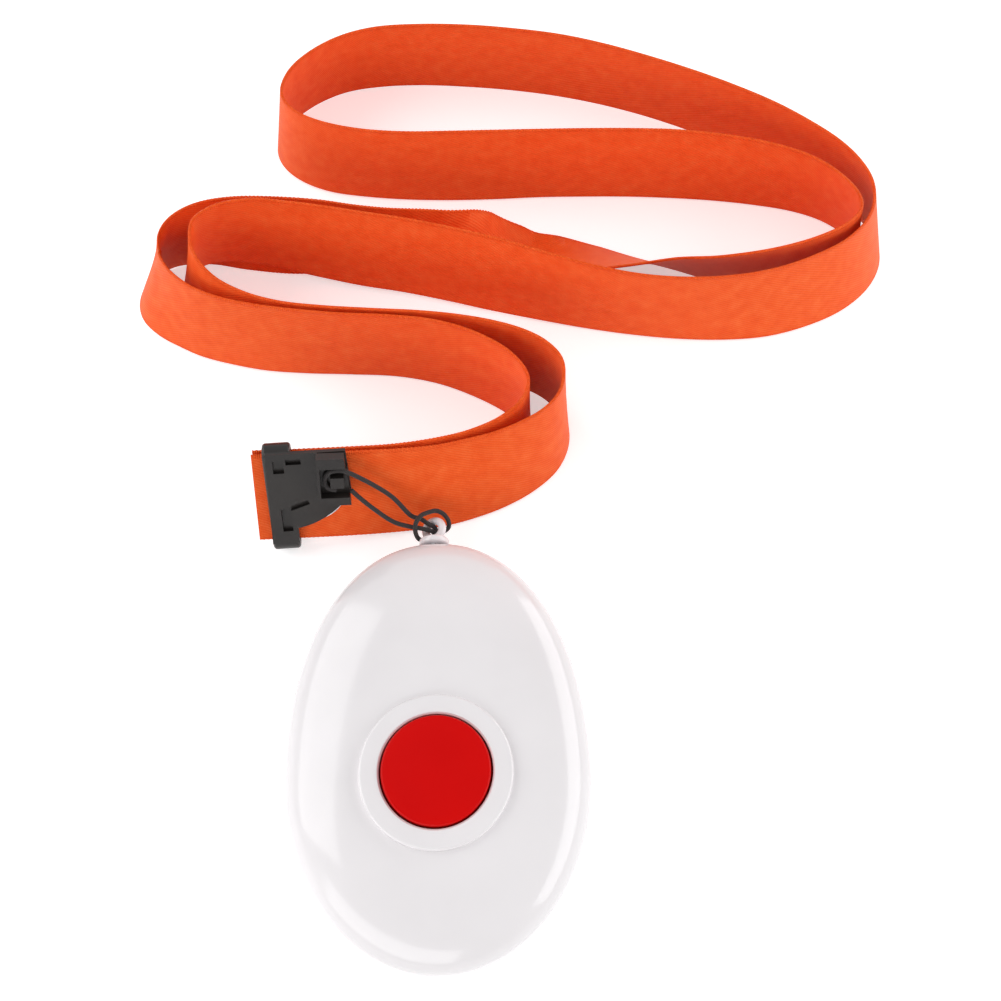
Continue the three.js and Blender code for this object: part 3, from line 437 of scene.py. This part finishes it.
class Finish:
    """A material built from nodes, around one principled shader."""

    def __init__(self, name, roughness, metallic=0, **sockets):
        self.material = bpy.data.materials.new(name)
        self.material.use_nodes = True
        self.tree = self.material.node_tree
        self.shader = self.tree.nodes["Principled BSDF"]
        self.shader.inputs["Roughness"].default_value = roughness
        self.shader.inputs["Metallic"].default_value = metallic
        for socket, value in sockets.items():
            self.shader.inputs[socket.replace("_", " ")].default_value = value
        self.coordinates = self.tree.nodes.new("ShaderNodeTexCoord")

    def link(self, source, target):
        self.tree.links.new(source, target)

    def noise(self, scale, detail=3, source="Object", stretch=None):
        node = self.tree.nodes.new("ShaderNodeTexNoise")
        node.inputs["Scale"].default_value = scale
        node.inputs["Detail"].default_value = detail
        vector = self.coordinates.outputs[source]
        if stretch:
            mapping = self.tree.nodes.new("ShaderNodeMapping")
            mapping.inputs["Scale"].default_value = stretch
            self.link(vector, mapping.inputs["Vector"])
            vector = mapping.outputs["Vector"]
        self.link(vector, node.inputs["Vector"])
        return node.outputs["Fac"]

    def ramp(self, source, stops):
        node = self.tree.nodes.new("ShaderNodeValToRGB")
        elements = node.color_ramp.elements
        while len(elements) < len(stops):
            elements.new(0.5)
        for element, (place, color) in zip(elements, stops):
            element.position = place
            element.color = (*color, 1)
        self.link(source, node.inputs["Fac"])
        return node.outputs["Color"]

    def spread(self, source, low, high):
        node = self.tree.nodes.new("ShaderNodeMapRange")
        node.inputs["To Min"].default_value = low
        node.inputs["To Max"].default_value = high
        self.link(source, node.inputs["Value"])
        return node.outputs["Result"]

    def math(self, operation, first, second=None):
        node = self.tree.nodes.new("ShaderNodeMath")
        node.operation = operation
        for socket, value in zip(node.inputs, (first, second)):
            if value is None:
                continue
            if isinstance(value, (int, float)):
                socket.default_value = value
            else:
                self.link(value, socket)
        return node.outputs["Value"]

    def along(self, direction):
        """The place along one direction of the surface's own millimetres."""
        node = self.tree.nodes.new("ShaderNodeVectorMath")
        node.operation = "DOT_PRODUCT"
        node.inputs[1].default_value = direction
        self.link(self.coordinates.outputs["UV"], node.inputs[0])
        return node.outputs["Value"]

    def wave(self, direction, length):
        """A sine along one direction, with a crest at each length in millimetres."""
        return self.math("SINE", self.math("MULTIPLY", self.along(direction), 2 * math.pi / length))

    def color(self, source):
        self.link(source, self.shader.inputs["Base Color"])

    def roughness(self, source):
        self.link(source, self.shader.inputs["Roughness"])

    def bump(self, height, strength, distance):
        node = self.tree.nodes.new("ShaderNodeBump")
        node.inputs["Strength"].default_value = strength
        node.inputs["Distance"].default_value = distance
        self.link(height, node.inputs["Height"])
        self.link(node.outputs["Normal"], self.shader.inputs["Normal"])


def moulded(name, dark, light, roughness, grain, strength, **sockets):
    """Moulded plastic: a faint cloudiness in the colour, uneven gloss and a fine skin."""
    finish = Finish(name, roughness, **sockets)
    cloud = finish.noise(60, 4)
    finish.color(finish.ramp(cloud, [(0.3, dark), (0.7, light)]))
    finish.roughness(finish.spread(finish.noise(180, 3), roughness * 0.8, roughness * 1.25))
    finish.bump(finish.noise(grain, 4), strength, 0.00005)
    return finish.material


def metal(name, dark, light, roughness, stretch=(1, 1, 1)):
    """Drawn or turned metal with fine lines."""
    finish = Finish(name, roughness, metallic=1)
    lines = finish.noise(900, 5, stretch=stretch)
    finish.color(finish.ramp(lines, [(0.25, dark), (0.75, light)]))
    finish.roughness(finish.spread(lines, roughness * 0.7, roughness * 1.4))
    finish.bump(lines, 0.15, 0.00002)
    return finish.material


def woven_ribbon():
    """Satin ribbon: fine slanting ribs, crossing threads, and a tighter weave along both edges. Its colour
    carries painted shade: lighter on the raised ribs and fine grain, darker in their hollows.
    """
    finish = Finish(
        "orange_ribbon", 0.5, Sheen_Weight=0.3, Sheen_Roughness=0.35, Sheen_Tint=(1, 0.25, 0.08, 1),
        Specular_IOR_Level=0.25, Specular_Tint=(1, 0.5, 0.25, 1),
    )
    rib = finish.wave((0.42, 0.9, 0), 0.55)
    thread = finish.wave((1, 0, 0), 0.4)
    across = finish.math("ABSOLUTE", finish.along((0, 1, 0)))
    border = finish.math("GREATER_THAN", across, 9.2)
    border_weave = finish.math("MULTIPLY", thread, border)
    cloud = finish.noise(0.35, 4, source="UV")
    fine = finish.noise(3, 3, source="UV")
    height = finish.math("ADD", finish.math("MULTIPLY", rib, 0.5), finish.math("MULTIPLY", fine, 1.2))
    height = finish.math("ADD", height, finish.math("MULTIPLY", border_weave, 1.1))
    # Painted shade: the ribs and the fine grain make the colour lighter where the cloth is raised and darker in
    # its hollows; the cloud is the cloth's own uneven tone.
    tone_and_painted_shade = finish.math("ADD", finish.math("MULTIPLY", rib, 0.1), finish.math("MULTIPLY", cloud, 0.7))
    tone_and_painted_shade = finish.math("ADD", tone_and_painted_shade, finish.math("MULTIPLY", fine, 0.35))
    # Both edges are drawn a little darker along the whole length of the ribbon.
    tone_and_painted_shade = finish.math("SUBTRACT", tone_and_painted_shade, finish.math("MULTIPLY", border, 0.12))
    shades = [(0.2, (0.86, 0.08, 0.01)), (0.55, (0.95, 0.12, 0.022)), (0.9, (1, 0.19, 0.05))]
    finish.color(finish.ramp(tone_and_painted_shade, shades))
    finish.roughness(finish.spread(fine, 0.42, 0.6))
    finish.bump(height, 0.5, 0.00008)
    return finish.material


def braided_cord():
    """Dull cord of two sets of crossing threads, with painted shade: lighter on the crowns of the threads and
    darker between them.
    """
    finish = Finish("dark_cord", 0.75, Sheen_Weight=0.1)
    braid = finish.math("MULTIPLY", finish.wave((1, 1.2, 0), 0.5), finish.wave((1, -1.2, 0), 0.5))
    shades = [(0.1, (0.012, 0.009, 0.009)), (0.9, (0.045, 0.036, 0.034))]
    # Painted shade: the colour follows the braid's bump height, lighter on the crowns and darker in the
    # hollows.
    finish.color(finish.ramp(finish.spread(braid, 0, 1), shades))
    finish.bump(braid, 0.7, 0.00006)
    return finish.material


def case_share(x, y, inset=0.0):
    """How far out a place is, from 0 in the middle to 1 on the outline."""
    half = CASE_WIDTH / 2 - inset
    above = y > WAIST_Y
    power = CASE_SHOULDER if above else 2
    reach = (CASE_ABOVE if above else CASE_BELOW) - inset
    return (abs(x / half) ** power + abs((y - WAIST_Y) / reach) ** power) ** (1 / power)


def outline_point(angle, inset=0.0):
    c, s = math.cos(angle), math.sin(angle)
    power = 2 / (CASE_SHOULDER if s > 0 else 2)
    reach = (CASE_ABOVE if s > 0 else CASE_BELOW) - inset
    x = (CASE_WIDTH / 2 - inset) * math.copysign(abs(c) ** power, c)
    return x, WAIST_Y + reach * math.copysign(abs(s) ** power, s)


ANGLES = full_turn(EGG_SIDES)


def level_row(share, z, inset=0.0):
    row = []
    for angle in ANGLES:
        x, y = outline_point(angle, inset)
        row.append((share * x, WAIST_Y + share * (y - WAIST_Y), z))
    return row


def below_waist(z, inset=0.0):
    """The ring of the case at a level below its waist."""
    sine = (WAIST_HEIGHT - z) / (WAIST_HEIGHT - inset)
    share = BACK_FLAT + (1 - BACK_FLAT) * math.sqrt(max(0.0, 1 - sine ** 2))
    return level_row(share, z, inset)


def circle_row(radius, z):
    return [(radius * math.cos(a), BUTTON_Y + radius * math.sin(a), z) for a in ANGLES]


def dome_rows(radius, inset):
    """Rings of the dome from the waist in to a circle round the button."""
    rise = CASE_HEIGHT - inset - WAIST_HEIGHT
    rows = []
    for k in range(DOME_ROWS, -1, -1):
        reach = math.sin(k / DOME_ROWS * math.pi / 2) ** (2 / DOME_POWER)
        row = []
        for angle in ANGLES:
            ox, oy = outline_point(angle, inset)
            cx, cy = radius * math.cos(angle), BUTTON_Y + radius * math.sin(angle)
            x, y = cx + (ox - cx) * reach, cy + (oy - cy) * reach
            share = min(1.0, case_share(x, y, inset))
            row.append((x, y, WAIST_HEIGHT + rise * (1 - share ** DOME_POWER) ** (1 / DOME_POWER)))
        rows.append(row)
    return rows


def eyelet_hole():
    end = WAIST_Y + CASE_ABOVE
    return rod_along_y("hole", STEM_RADIUS + HOLE_SLACK, end - 3 * WALL, end + WALL)


def rod_along_y(name, radius, y0, y1, edge=0.0):
    profile = [(0, y0), (radius, y0), (radius, y1), (0, y1)]
    if edge:
        profile = rounded(rounded(profile, 2, edge), 1, edge)
    matrix = Matrix.Translation((0, 0, WAIST_HEIGHT)) @ Matrix.Rotation(math.radians(-90), 4, "X")
    return move_mesh(turned(name, profile, sides=64), matrix)


def front_shell():
    """The dome with the raised ring on it, out over its edge and back along the inside of the wall."""
    rows = [below_waist(SEAM_HIGH), below_waist(SHELL_FOOT)]
    rows += dome_rows(LAND_RADIUS, 0)
    for i in range(LAND_STEPS + 1):
        t = i / LAND_STEPS * math.pi / 2
        radius = LAND_RADIUS - LAND_EDGE + LAND_EDGE * math.cos(t)
        rows.append(circle_row(radius, LAND_TOP - LAND_EDGE + LAND_EDGE * math.sin(t)))
    rows.append(circle_row(HOLE_RADIUS + HOLE_CHAMFER, LAND_TOP))
    rows.append(circle_row(HOLE_RADIUS, LAND_TOP - HOLE_CHAMFER))
    rows += dome_rows(HOLE_RADIUS, WALL)[::-1]
    rows.append(below_waist(SEAM_HIGH, WALL))
    obj = skin("front_shell_skin", rows, joined=True)
    boolean(obj, eyelet_hole(), "DIFFERENCE")
    return smooth_by_angle(obj, 30)


def back_cover(screws):
    """The flat back, the round side up to the seam and the inside, with a boss round each screw."""
    rows = [level_row(share, 0) for share in BACK_SHARES]
    top = math.asin((WAIST_HEIGHT - SEAM_LOW) / WAIST_HEIGHT)
    for k in range(BACK_STEPS, -1, -1):
        t = top + (math.pi / 2 - top) * k / BACK_STEPS
        rows.append(level_row(BACK_FLAT + (1 - BACK_FLAT) * math.cos(t), WAIST_HEIGHT * (1 - math.sin(t))))
    rows.append(below_waist(SEAM_LOW, WALL))
    rows.append(below_waist(COVER_FLOOR, WALL))
    rows.append(level_row(BACK_FLAT, WALL, WALL))
    obj = skin("back_cover_skin", rows, start=(0, WAIST_Y, 0), end=(0, WAIST_Y, WALL))
    for place in screws:
        boolean(obj, turned("boss", BOSS_PROFILE, place, SCREW_SIDES), "UNION")
        boolean(obj, turned("bore", BORE_PROFILE, place, SCREW_SIDES), "DIFFERENCE")
    boolean(obj, eyelet_hole(), "DIFFERENCE")
    return smooth_by_angle(obj, 30)


def case_screw(name, x, y):
    """A pan head screw, head down, with a cross recess."""
    obj = turned(name, rounded(SCREW_PROFILE, 1, 0.0004), (x, y), SCREW_SIDES)
    for dx, dy in ((DRIVE_ARM, DRIVE_HALF), (DRIVE_HALF, DRIVE_ARM)):
        boolean(obj, box("drive", x - dx, x + dx, y - dy, y + dy, -0.001, DRIVE_DEPTH), "DIFFERENCE")
    return smooth_by_angle(obj, 40)


def button_cap():
    profile = rounded(CAP_PROFILE, CAP_CORNER, CAP_EDGE, 6)
    return smooth_by_angle(turned("button_cap_skin", profile, (0, BUTTON_Y), 160), 35)


def eyelet():
    obj = rod_along_y("eyelet_skin", STEM_RADIUS, STEM_START, COLLAR_START + COLLAR_THICK / 2)
    collar = rod_along_y("collar", COLLAR_RADIUS, COLLAR_START, COLLAR_START + COLLAR_THICK, COLLAR_EDGE)
    boolean(obj, collar, "UNION")
    rows = []
    for a in full_turn(RING_SIDES):
        row = []
        for b in full_turn(WIRE_SIDES):
            reach = RING_RADIUS + RING_WIRE * math.cos(b)
            row.append((reach * math.cos(a), reach * math.sin(a), RING_WIRE * math.sin(b)))
        rows.append(row)
    ring = skin("ring", rows, joined=True)
    ring.data.flip_normals()
    move_mesh(ring, Matrix.Translation((0, RING_Y, WAIST_HEIGHT)) @ Matrix.Rotation(RING_TURN, 4, "Y"))
    boolean(obj, ring, "UNION")
    return smooth_by_angle(obj, 35)


def clip_matrix():
    middle, along, across, face = ribbon_stations(SOLID_STEP)[CLIP_AT * SOLID_STEP]
    matrix = Matrix((along, across, face)).transposed().to_4x4()
    matrix.translation = middle
    return matrix


def arc(middle, radius, start, stop, steps):
    points = []
    for i in range(steps + 1):
        angle = math.radians(start + (stop - start) * i / steps)
        points.append((middle[0] + radius * math.cos(angle), middle[1] + radius * math.sin(angle)))
    return points


def quadratic(start, control, end, steps):
    points = []
    for i in range(steps + 1):
        t = i / steps
        points.append(tuple(
            (1 - t) ** 2 * start[k] + 2 * t * (1 - t) * control[k] + t ** 2 * end[k] for k in range(2)))
    return points


def clip_frame(place):
    radius = (PLATE_FACE - CLIP_BACK) / 2
    level = (PLATE_FACE + CLIP_BACK) / 2
    reach = EAR_REACH - radius
    section = arc((reach, level), radius, -90, 90, 20) + arc((-reach, level), radius, 90, 270, 20)
    obj = slab("clip_frame_skin", section, CLIP_START, EAR_END)
    axes = Matrix(((0, 0, 1, 0), (1, 0, 0, 0), (0, 1, 0, 0), (0, 0, 0, 1)))
    move_mesh(obj, axes)
    bevelled(obj, 0.0006, 5, 50)
    outline = [(CLIP_START, PLATE_TAIL), (EAR_END, PLATE_TAIL)]
    outline += quadratic(*PLATE_BEND, 20)
    outline += [(PLATE_CORNER, PLATE_HEAD), (CLIP_START + PLATE_SETBACK, PLATE_HEAD)]
    boolean(obj, slab("plate", outline, PLATE_FOOT, PLATE_FACE), "UNION")
    rib = (CLIP_END - RIB_WIDTH, CLIP_END, RIB_START, PLATE_HEAD)
    boolean(obj, box("rib", *rib, PLATE_FOOT, PLATE_FACE + RIB_HEIGHT), "UNION")
    boolean(obj, box("slot", -FAR, FAR, -EDGE, EDGE, SLOT_BACK, PLATE_FOOT), "DIFFERENCE")
    boolean(obj, box("mouth", -FAR, FAR, -LIP, LIP, -FAR, SLOT_BACK + 0.0003), "DIFFERENCE")
    for recess in RECESSES:
        boolean(obj, box("recess", *recess, RECESS_FLOOR, FAR), "DIFFERENCE")
    slant = box("slant", *SLANT, RECESS_FLOOR, FAR)
    move_mesh(slant, Matrix.Translation((0, SLANT_SHIFT, 0)) @ Matrix.Rotation(SLANT_TURN, 4, "Z"))
    boolean(obj, slant, "DIFFERENCE")
    bevelled(obj, 0.00012, 2, 50)
    shift = Matrix.Translation((FRAME_SHIFT, 0, 0)) @ Matrix.Rotation(FRAME_TURN, 4, "Z")
    return move_mesh(obj, place @ shift)


def clip_back_plate(place):
    half = BACK_PLATE_HALF
    obj = box("clip_back_plate_skin", CLIP_START, EAR_END, -half, half, CLIP_BACK, SLOT_BACK)
    return move_mesh(bevelled(obj, 0.00025), place)


def clip_disc(place):
    top = DISC_FOOT + DISC_THICK
    profile = [(0, DISC_FOOT), (DISC_RADIUS, DISC_FOOT), (DISC_RADIUS, top), (0, top)]
    profile = rounded(rounded(profile, 2, 0.0001), 1, 0.0001)
    return move_mesh(smooth_by_angle(turned("clip_disc_skin", profile, DISC_CENTRE, 128), 50), place)


def string_block(place):
    """The floor of the pocket, the rim round three of its sides and the peg in it."""
    obj = slab("string_block_skin", BLOCK_OUTLINE, BLOCK_FOOT, BLOCK_FOOT + POCKET_FLOOR)
    boolean(obj, slab("rim", RIM_OUTLINE, BLOCK_FOOT, BLOCK_FACE), "UNION")
    boolean(obj, box("peg", *PEG, BLOCK_FOOT, BLOCK_FACE - PEG_DROP), "UNION")
    triangulated(obj)
    bevelled(obj, 0.0002, 3, 50)
    return move_mesh(obj, place)


def set_uv(obj, values):
    """Surface coordinates in millimetres, given for each corner of each face."""
    layer = obj.data.uv_layers.new(name="surface")
    flat = [number for pair in values for number in pair]
    layer.data.foreach_set("uv", flat)


def neck_ribbon():
    """The cloth with its edges in small picots, and its length."""
    half_mm = RIBBON_WIDTH / 2 * 1000
    widths = [half_mm * share for share, _ in RIBBON_SECTION]
    stations = ribbon_stations(RIBBON_STEPS)
    rows = []
    reach = [0.0]
    for i, (middle, along, across, face) in enumerate(stations):
        if i:
            reach.append(reach[-1] + (middle - stations[i - 1][0]).length)
        row = []
        for a, b in RIBBON_SECTION:
            half = RIBBON_WIDTH / 2 - (PICOT if i % 2 and abs(a) == 1 else 0)
            row.append(middle + across * (a * half) + face * (b * RIBBON_THICK / 2))
        rows.append(row)
    sides = len(RIBBON_SECTION)
    vertices = [point for row in rows for point in row]
    faces = [tuple(range(sides))]
    corners = [(0, width) for width in widths]
    for k in range(len(rows) - 1):
        for i in range(sides):
            j = (i + 1) % sides
            faces.append((k * sides + i, (k + 1) * sides + i, (k + 1) * sides + j, k * sides + j))
            u0, u1 = reach[k] * 1000, reach[k + 1] * 1000
            corners += [(u0, widths[i]), (u1, widths[i]), (u1, widths[j]), (u0, widths[j])]
    last = (len(rows) - 1) * sides
    faces.append(tuple(last + i for i in reversed(range(sides))))
    corners += [(reach[-1] * 1000, width) for width in reversed(widths)]
    obj = new_object("neck_ribbon_cloth", vertices, faces)
    set_uv(obj, corners)
    smooth_by_angle(obj, 50)
    return obj, reach[-1]


def string_path(place):
    """The middle line of the string: from the peg to the ring, through its hitch and back round the peg."""
    def on_clip(points):
        return [place @ Vector((x, y, BLOCK_FOOT + z)) for x, y, z in points]

    ring = Vector((0, RING_Y, WAIST_HEIGHT))
    points = on_clip(PEG_START) + [lay(point) for point in LOWER_STRAND]
    points += [ring + Vector(point) for point in HITCH]
    points += [lay(point) for point in UPPER_STRAND] + on_clip(PEG_TURN)
    return [Vector(point) for point in catmull(points, STRING_STEPS)]


def string(path):
    rows = []
    reach = 0.0
    lengths = []
    normal = Vector((0, 0, 1))
    for i, point in enumerate(path):
        along = (path[min(i + 1, len(path) - 1)] - path[max(i - 1, 0)]).normalized()
        normal = (normal - along * normal.dot(along)).normalized()
        side = along.cross(normal)
        if i:
            reach += (point - path[i - 1]).length
        lengths.append(reach)
        row = []
        for angle in full_turn(STRING_SIDES):
            row.append(point + (normal * math.cos(angle) + side * math.sin(angle)) * STRING_DIAMETER / 2)
        rows.append(row)
    vertices = [point for row in rows for point in row]
    faces = [tuple(reversed(range(STRING_SIDES)))]
    round_mm = math.pi * STRING_DIAMETER * 1000
    corners = [(0, 0)] * STRING_SIDES
    for k in range(len(rows) - 1):
        for i in range(STRING_SIDES):
            j = (i + 1) % STRING_SIDES
            a, b = k * STRING_SIDES, (k + 1) * STRING_SIDES
            faces.append((a + i, a + j, b + j, b + i))
            u0, u1 = lengths[k] * 1000, lengths[k + 1] * 1000
            v0, v1 = i * round_mm / STRING_SIDES, (i + 1) * round_mm / STRING_SIDES
            corners += [(u0, v0), (u0, v1), (u1, v1), (u1, v0)]
    last = (len(rows) - 1) * STRING_SIDES
    faces.append(tuple(last + i for i in range(STRING_SIDES)))
    corners += [(0, 0)] * STRING_SIDES
    obj = new_object("string", vertices, faces)
    set_uv(obj, corners)
    smooth_by_angle(obj, 60)
    return obj, lengths[-1]


def paint(obj, material):
    obj.data.materials.clear()
    obj.data.materials.append(material)
    return obj


def paint_node(name, material):
    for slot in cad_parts[name].material_slots:
        slot.material = material


def dress(obj, material, slot, body, *nodes):
    paint(obj, material)
    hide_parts(*nodes)
    if body:
        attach(obj, body)
    return obj


def area_light(name, place, target, size, power):
    data = bpy.data.lights.new(name, "AREA")
    data.shape = "RECTANGLE"
    data.size, data.size_y = size
    data.energy = power
    obj = bpy.data.objects.new(name, data)
    obj.location = place
    direction = Vector(target) - Vector(place)
    obj.rotation_euler = direction.to_track_quat("-Z", "Y").to_euler()
    bpy.context.scene.collection.objects.link(obj)


def seen_level(tree, socket, low, high):
    """High where the camera sees the surface, directly or in gloss or glass, and low as light on the object."""
    path = tree.nodes.new("ShaderNodeLightPath")
    seen = path.outputs["Is Camera Ray"]
    for ray in ("Is Glossy Ray", "Is Transmission Ray"):
        total = tree.nodes.new("ShaderNodeMath")
        total.operation = "ADD"
        tree.links.new(seen, total.inputs[0])
        tree.links.new(path.outputs[ray], total.inputs[1])
        seen = total.outputs["Value"]
    level = tree.nodes.new("ShaderNodeMapRange")
    level.inputs["To Min"].default_value = low
    level.inputs["To Max"].default_value = high
    tree.links.new(seen, level.inputs["Value"])
    tree.links.new(level.outputs["Result"], socket)


def studio():
    """White floor that keeps a soft shadow, white surroundings for the eye, and soft lamps."""
    scene = bpy.context.scene
    scene.view_settings.view_transform = "Standard"
    world = bpy.data.worlds.new("studio")
    world.use_nodes = True
    scene.world = world
    background = world.node_tree.nodes["Background"]
    background.inputs["Color"].default_value = (1, 1, 1, 1)
    seen_level(world.node_tree, background.inputs["Strength"], WORLD_LIGHT, 1)

    half = FLOOR_HALF
    corners = [(-half, -half, 0), (half, -half, 0), (half, half, 0), (-half, half, 0)]
    floor = new_object("floor", corners, [(0, 1, 2, 3)])
    material = bpy.data.materials.new("floor")
    material.use_nodes = True
    shader = material.node_tree.nodes["Principled BSDF"]
    shader.inputs["Base Color"].default_value = (FLOOR_WHITE, FLOOR_WHITE, FLOOR_WHITE, 1)
    shader.inputs["Roughness"].default_value = 1
    shader.inputs["Specular IOR Level"].default_value = 0
    shader.inputs["Emission Color"].default_value = (1, 1, 1, 1)
    seen_level(material.node_tree, shader.inputs["Emission Strength"], 0, FLOOR_GLOW)
    paint(floor, material)

    for lamp in LAMPS:
        area_light(*lamp)


camera()
place = clip_matrix()

ribbon, ribbon_length = neck_ribbon()
path = string_path(place)
cord, cord_length = string(path)

white = moulded(
    "white_shell", (0.86, 0.83, 0.845), (0.9, 0.87, 0.885), 0.16, 1500, 0.04,
    Coat_Weight=0.25, Coat_Roughness=0.05)
red = moulded("red_button", (0.64, 0, 0), (0.7, 0.001, 0.0005), 0.3, 2500, 0.08, Specular_IOR_Level=0.12)
rubber = moulded("grey_rubber", (0.08, 0.08, 0.085), (0.12, 0.12, 0.125), 0.8, 2000, 0.3)
board = moulded("green_board", (0.012, 0.12, 0.04), (0.03, 0.19, 0.07), 0.4, 1200, 0.2)
black = moulded(
    "black_plastic", (0.012, 0.01, 0.0095), (0.024, 0.02, 0.018), 0.3, 2500, 0.2, Specular_IOR_Level=0.35)
ivory = moulded("ivory_plastic", (0.62, 0.62, 0.57), (0.72, 0.72, 0.67), 0.5, 1800, 0.2)
blue = moulded("blue_sleeve", (0.02, 0.04, 0.17), (0.04, 0.06, 0.24), 0.25, 1500, 0.1)
chrome = metal("bright_steel", (0.6, 0.6, 0.62), (0.8, 0.8, 0.82), 0.12)
steel = metal("screw_steel", (0.42, 0.43, 0.44), (0.58, 0.59, 0.6), 0.3, (1, 1, 8))
brass = metal("brass_strip", (0.5, 0.32, 0.06), (0.66, 0.43, 0.1), 0.28, (1, 6, 1))
orange = woven_ribbon()
braid = braided_cord()

screw_places = [(x, WAIST_Y + y) for x, y in CASE_SCREWS]

dress(front_shell(), white, "white_shell", "root", "front_shell")
dress(back_cover(screw_places), white, "white_shell", "root", "back_cover")
dress(button_cap(), red, "red_button", "button", "button_cap")
dress(eyelet(), white, "white_shell", "eyelet_swivel", "eyelet")
for number, (x, y) in enumerate(screw_places, 1):
    screw = case_screw(f"case_screw_{number}_skin", x, y)
    dress(screw, steel, "screw_steel", "root", f"case_screw_{number}")

frame_piece = dress(clip_frame(place), black, "black_plastic", "root", "clip_frame")
back_piece = dress(clip_back_plate(place), black, "black_plastic", "root", "clip_back_plate")
disc_piece = dress(clip_disc(place), chrome, "bright_steel", "root", "clip_disc")
block_piece = dress(string_block(place), black, "black_plastic", "root", "string_block")

dress(ribbon, orange, "orange_ribbon", "root", "neck_ribbon")

dress(cord, braid, "dark_cord", None, "string_loop", "string_hitch")
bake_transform(cord)

for material, names in (
    (rubber, ["case_gasket"]),
    (board, ["circuit_board"]),
    (black, ["switch_body", "encoder_chip"]),
    (ivory, ["switch_plunger", "battery_holder"]),
    (steel, ["return_spring", "eyelet_retainer", "board_screw_1", "board_screw_2"]),
    (chrome, ["battery_cell", "crystal_can"]),
    (brass, ["battery_contact", "antenna_coil"]),
    (blue, ["capacitor"]),
):
    for name in names:
        paint_node(name, material)

studio()
